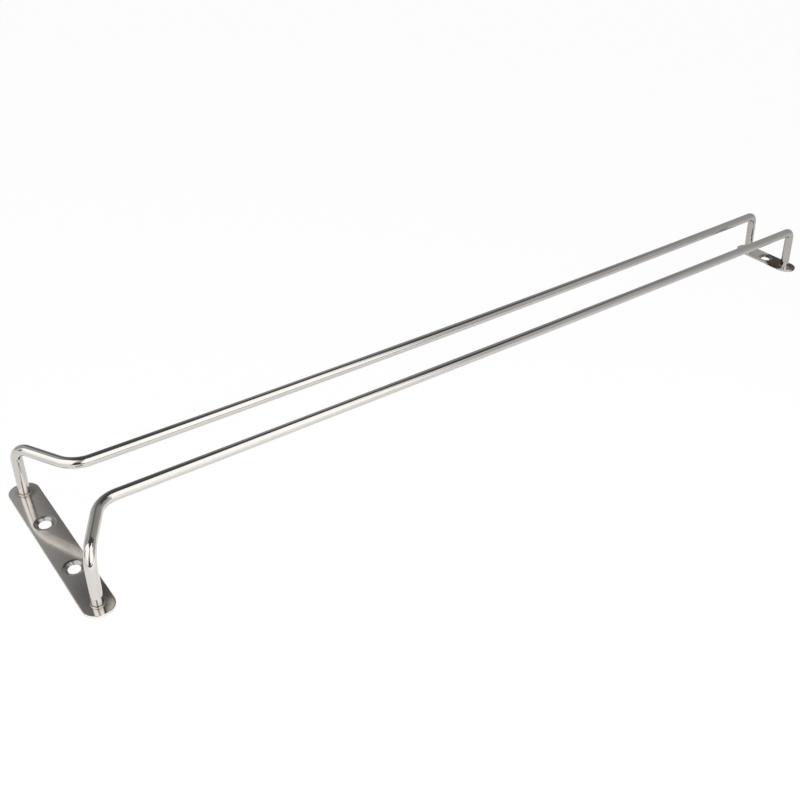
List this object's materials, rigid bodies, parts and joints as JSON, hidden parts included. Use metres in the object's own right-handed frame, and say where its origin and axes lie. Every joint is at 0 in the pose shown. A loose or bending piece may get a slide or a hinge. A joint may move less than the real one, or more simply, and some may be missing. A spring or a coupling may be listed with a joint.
{
  "type": "wine glass rack",
  "caption": "Single-channel wire hanger for stemmed glasses: bent plated wires on flat screw plates that fix under a shelf or cabinet.",
  "frame": {"origin": "under the middle of the rack, on the mounting faces of the two plates; the rack stands upside down, as in the picture, and is turned over to hang", "axes": "+X from the entry to the far end, along the channel; +Y to the back wire; +Z away from the shelf, from the plates to the rails"},
  "size_m": [0.6, 0.1124, 0.0355],
  "materials": {
    "wire": "bright plated steel wire",
    "plate": "bright plated steel strip",
    "weld": "plated over the weld"
  },
  "bodies": {
    "root": {"back_rail_wire": "wire", "front_rail_wire": "wire", "entry_plate": "plate", "far_plate": "plate", "entry_back_weld": "weld", "entry_front_weld": "weld", "far_back_weld": "weld", "far_front_weld": "weld"}
  },
  "joints": []
}
